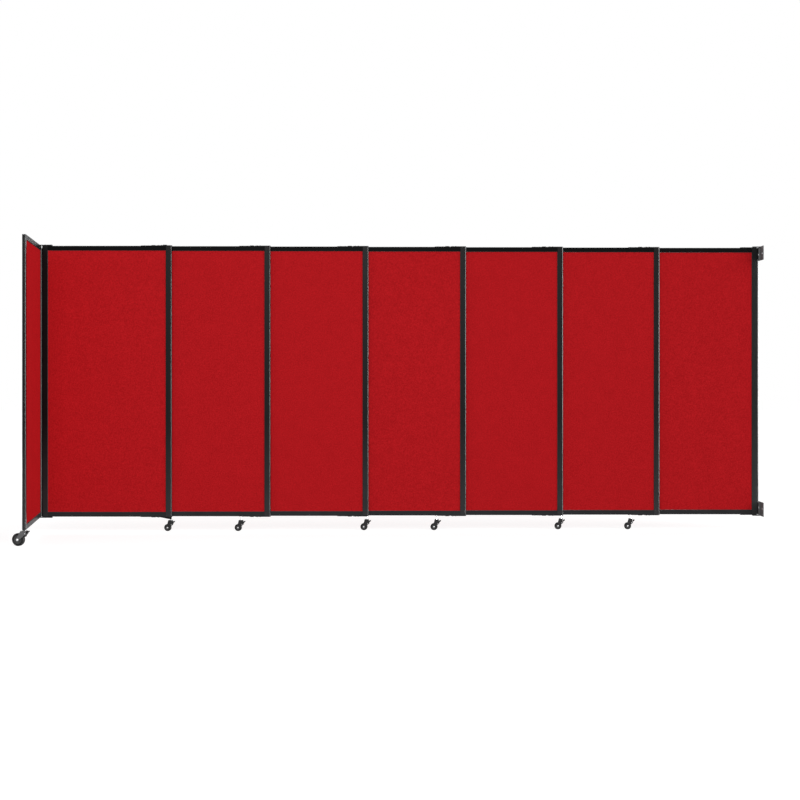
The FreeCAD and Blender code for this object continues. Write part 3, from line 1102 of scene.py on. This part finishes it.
@dataclass
class Caster:
    """Swivel caster: fork, wheel, brake lever and their fasteners."""

    TYRE_SIDES, HUB_SIDES = 64, 48
    SHOULDER_STEPS = (0, 22, 45, 68, 90)

    name: str
    fork_finish: Finish = SMALL_FORK_COAT
    head_finish: Finish = ZINC_STEEL
    ring: bool = True
    fork_edge: float = 0.5 * MM
    lever_edge: float = 0.8 * MM
    tyre_share: float = 0.66
    shoulder_share: float = 0.14
    wall_share: float = 0.06
    wall_depth: float = 0.3 * MM
    rim_depth: float = 1.0 * MM
    hub_depth: float = 1.3 * MM
    hub_rim: float = 1.2 * MM
    hub_slope: float = 2.4 * MM
    dish_depth: float = 2.2 * MM
    boss_share: float = 2.0
    boss_slope: float = 1.5 * MM
    boss_depth: float = 0.2 * MM
    axle_share: float = 1.65
    axle_height: float = 1.7 * MM
    rivet_radius: float = 2.4 * MM
    rivet_height: float = 0.55 * MM
    ring_radius: float = 8.5 * MM
    ring_height: float = 1.6 * MM
    ring_bore: float = 4.2 * MM

    def __post_init__(self) -> None:
        """Read the caster's place, turn and bore from its joints and wheel."""
        axis = Vector(joint(self.name + "_roll")["axis"])
        self.place = Place(Vector((0.0, 0.0, 0.0)), math.atan2(-axis.x, axis.y))
        back = self.place.matrix().inverted()
        self.stem, self.hub, self.pivot = (back @ Vector(joint(f"{self.name}_{kind}")["pos_m"])
                                           for kind in ("swivel", "roll", "brake"))
        wheel = self.place.points(self.name + "_wheel")
        self.bore = min((p - self.hub).xz.length for p in wheel)

    def build(self) -> None:
        """Build and dress every piece of the caster."""
        fork, lever = self.name + "_fork", self.name + "_lever"
        eased_copy(fork, self.fork_finish, fork, Slot.FORK, self.fork_edge)
        eased_copy(lever, BLACK_PLASTIC, lever, Slot.LEVER, self.lever_edge)
        self.build_wheel()
        self.build_fasteners()

    @staticmethod
    def mirrored(rings: Sequence[Pair]) -> list[Pair]:
        """A profile's rings on the wheel's other side, in reverse order."""
        return [(radius, -height) for radius, height in reversed(rings)]

    def build_wheel(self) -> None:
        """Turn the tyre and the hub on the axle."""
        node = self.name + "_wheel"
        low, high = self.place.box(node)
        radius = (high.z - low.z) / 2
        half = (high.y - low.y) / 2
        seat = self.place.seat(*self.hub, Facing.BACK)
        rim = self.tyre_share * radius
        shoulder = self.shoulder_share * radius
        crown = [(radius - shoulder * (1 - math.cos(a)), half - shoulder * (1 - math.sin(a)))
                 for a in map(math.radians, self.SHOULDER_STEPS)]
        side = [*crown, (rim + self.wall_share * radius, half - self.wall_depth),
                (rim, half - self.rim_depth)]
        tyre = Shape()
        tyre.turned([*self.mirrored(side), *side], seat, self.TYRE_SIDES, closed=True)
        tyre.piece(node + "_tyre", TYRE_RUBBER, node, Slot.WHEEL, [node])
        boss = self.boss_share * self.bore
        lip, dish, top = half - self.hub_depth, half - self.dish_depth, half - self.boss_depth
        face = [(rim, lip), (rim - self.hub_rim, lip), (rim - self.hub_slope, dish),
                (boss + self.boss_slope, dish), (boss, top), (self.bore, top)]
        hub = Shape()
        hub.turned([*face, *self.mirrored(face)], seat, self.HUB_SIDES, closed=True)
        hub.piece(node + "_hub", HUB_PLASTIC, node, Slot.WHEEL)

    def build_fasteners(self) -> None:
        """Head the axle and the lever's rivet, and lay a ring under the stem."""
        fork = self.name + "_fork"
        low, high = self.place.box(fork)
        heads = Fasteners(fork, self.head_finish, Slot.BRIGHT)
        for y, facing in ((low.y, Facing.FRONT), (high.y, Facing.BACK)):
            axle = self.place.seat(self.hub.x, y, self.hub.z, facing)
            heads.add(Head.RIVET, axle, self.axle_share * self.bore, self.axle_height)
            pin = self.place.seat(self.pivot.x, y, self.pivot.z, facing)
            heads.add(Head.RIVET, pin, self.rivet_radius, self.rivet_height)
        if self.ring:
            seat = self.place.seat(self.stem.x, self.stem.y, high.z)
            heads.add(Head.RING, seat, self.ring_radius, self.ring_height, self.ring_bore)
        heads.finish_up(fork + "_heads")


@dataclass(frozen=True)
class Lamp:
    """A lamp of the studio."""

    name: str

    def hang(self, data: bpy.types.Light, spot: Vector, look: Vector) -> bpy.types.Object:
        """Put the lamp into the scene.

        Args:
            data: Its light.
            spot: Where it hangs.
            look: The way it shines.

        Returns:
            The lamp.
        """
        lamp = bpy.data.objects.new(self.name, data)
        lamp.location = spot
        lamp.rotation_mode = "QUATERNION"
        lamp.rotation_quaternion = look.to_track_quat("-Z", "Y")
        bpy.context.scene.collection.objects.link(lamp)
        return lamp

    def build(self) -> None:
        """Make the light and hang it; each kind of lamp has its own way."""
        raise NotImplementedError


@dataclass(frozen=True)
class SoftBox(Lamp):
    """A rectangle of light with a power in watts; gloss_only shows as a highlight alone."""

    spot: Point
    aim: Point
    size: Pair
    power: float
    gloss_only: bool = False

    def build(self) -> None:
        """Hang the box so that it faces its aim."""
        data = bpy.data.lights.new(self.name, "AREA")
        data.shape = "RECTANGLE"
        data.size, data.size_y = self.size
        data.energy = self.power
        spot = Vector(self.spot)
        lamp = self.hang(data, spot, Vector(self.aim) - spot)
        lamp.visible_diffuse = not self.gloss_only


@dataclass(frozen=True)
class SideLight(Lamp):
    """Even light from one side; spread, turn from the front and height are in degrees."""

    strength: float
    spread: float
    turn: float
    height: float

    def build(self) -> None:
        """Shine from the right on the row and on the end panel's inner face."""
        data = bpy.data.lights.new(self.name, "SUN")
        data.energy = self.strength
        data.angle = math.radians(self.spread)
        turn, up = math.radians(self.turn), math.radians(self.height)
        flat = math.cos(up)
        spot = Vector((math.sin(turn) * flat, -math.cos(turn) * flat, math.sin(up)))
        self.hang(data, Vector(), -spot)


LAMPS = (
    SoftBox("front_panel", (-1.0, -10.0, 4.2), (-0.4, 0.0, 0.9), (4.0, 3.0), 285.0),
    SideLight("side_light", 2.4, 55.0, 60.0, 25.0),
    SoftBox("strip", (7.0, -0.5, 1.2), (0.0, 0.0, 1.2), (9.0, 3.2), 4400.0, gloss_only=True),
    SoftBox("back_panel", (-4.5, 8.0, 4.0), (0.0, 0.0, 0.9), (4.0, 2.5), 330.0),
)


@dataclass
class Studio:
    """Floor, light and camera."""

    camera_spot: Point = (-0.0147, -9.080, 1.0133)
    lens: float = 66.27
    sensor: float = 36.0
    drop: float = -0.0345
    sky: float = 0.5
    floor_reach: float = 60.0
    floor_glow: float = 0.74
    floor_tone: Colour = (0.36, 0.36, 0.36)
    floor_rough: float = 0.9
    lamps: Sequence[Lamp] = LAMPS

    def build(self) -> None:
        """Set the stage up."""
        self.build_world()
        self.build_floor()
        for lamp in self.lamps:
            lamp.build()
        self.build_camera()
        bpy.context.scene.view_settings.view_transform = "Standard"

    @staticmethod
    def seen_directly(bench: Bench) -> Socket:
        """A mask of rays that show the background: from the camera, a gloss or a glass.

        Args:
            bench: The floor's or the world's nodes.

        Returns:
            The mask's socket.
        """
        rays = bench.add("LightPath").outputs
        plain = bench.math("MAXIMUM", rays["Is Camera Ray"], rays["Is Glossy Ray"])
        return bench.math("MAXIMUM", plain, rays["Is Transmission Ray"])

    def build_world(self) -> None:
        """Light evenly from all round, with a white background."""
        world = bpy.data.worlds.new("studio")
        world.use_nodes = True
        bench = Bench(world.node_tree)
        bench.tree.nodes.clear()
        mix = bench.add("MixShader", Fac=self.seen_directly(bench))
        for index, strength in ((1, self.sky), (2, 1.0)):
            glow = bench.add("Background", Color=WHITE, Strength=strength)
            bench.put(glow.outputs[0], mix.inputs[index])
        bench.add("OutputWorld", Surface=mix.outputs[0])
        bpy.context.scene.world = world

    def build_floor(self) -> None:
        """Lay a pale floor that turns white in plain light and keeps the shadows."""
        half = self.floor_reach / 2
        corners = [(-half, -half, 0.0), (half, -half, 0.0), (half, half, 0.0), (-half, half, 0.0)]
        data = bpy.data.meshes.new("floor")
        data.from_pydata(corners, [], [(0, 1, 2, 3)])
        floor = bpy.data.objects.new("floor", data)
        bpy.context.scene.collection.objects.link(floor)
        material = bpy.data.materials.new("pale_floor")
        material.use_nodes = True
        painter = Painter(material)
        painter.set(Base_Color=(*self.floor_tone, 1.0), Roughness=self.floor_rough,
                    Specular_IOR_Level=0.0)
        strength = painter.math("MULTIPLY", self.seen_directly(painter), self.floor_glow)
        glow = painter.add("Emission", Color=WHITE, Strength=strength)
        both = painter.add("AddShader")
        for node, socket in zip((painter.shader, glow), both.inputs):
            painter.put(node.outputs[0], socket)
        out = next(n for n in painter.tree.nodes if n.type == "OUTPUT_MATERIAL")
        painter.fill(out, Surface=both.outputs[0])
        data.materials.append(material)

    def build_camera(self) -> None:
        """Put the camera at the photograph's viewing angle, level and looking along +Y."""
        data = bpy.data.cameras.new("camera")
        data.lens = self.lens
        data.sensor_width = self.sensor
        data.shift_y = self.drop
        camera = bpy.data.objects.new("camera", data)
        camera.location = self.camera_spot
        camera.rotation_euler = (math.pi / 2, 0.0, 0.0)
        bpy.context.scene.collection.objects.link(camera)
        bpy.context.scene.camera = camera


def row_panels() -> list[Panel]:
    """Choose the kind of each panel of the row.

    Returns:
        The panels from left to right.
    """
    names = sorted(body for body in frame["bodies"] if body.startswith("panel_"))
    both = (Side.LEFT, Side.RIGHT)
    made = []
    for name in names:
        low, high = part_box(name + "_posts")
        place = Place(Vector((low.x, (low.y + high.y) / 2, 0.0)))
        if name == names[0]:
            made.append(HingedPanel(name, place, (Side.RIGHT,), (Side.RIGHT,)))
        elif name == names[-1]:
            made.append(WallPanel(name, place, (Side.LEFT,)))
        elif name + "_caster_stems" in frame["nodes"]:
            made.append(CasterPanel(name, place, both))
        else:
            made.append(Panel(name, place, both))
    return made


def end_panel() -> EndPanel:
    """Place the end panel.

    Returns:
        The panel, in a frame that lies along it with the hinge at its right end.
    """
    hinge = joint("end_hinge")
    # It swings as far to the front as to the back, so the range's middle gives its turn at rest.
    turn = math.radians(-sum(hinge["range_deg"]) / 2)
    x, y, _ = hinge["pos_m"]
    return EndPanel("end_panel", Place(Vector((x, y, 0.0)), turn))


def casters() -> list[Caster]:
    """Find every caster that the frame has.

    Returns:
        The small ones and then the large one.
    """
    large = "end_caster"
    names = sorted(b.removesuffix("_fork") for b in frame["bodies"] if b.endswith("_fork"))
    small = [Caster(name) for name in names if name != large]
    return [*small, Caster(large, LARGE_FORK_COAT, BRIGHT_STEEL, ring=False)]


def main() -> None:
    """Build the divider and its stage."""
    logging.basicConfig(level=logging.INFO, format="%(name)s: %(message)s")
    for panel in row_panels():
        panel.build()
    end_panel().build()
    WallMount().build()
    for caster in casters():
        caster.build()
    Studio().build()


if __name__ == "__main__":
    main()
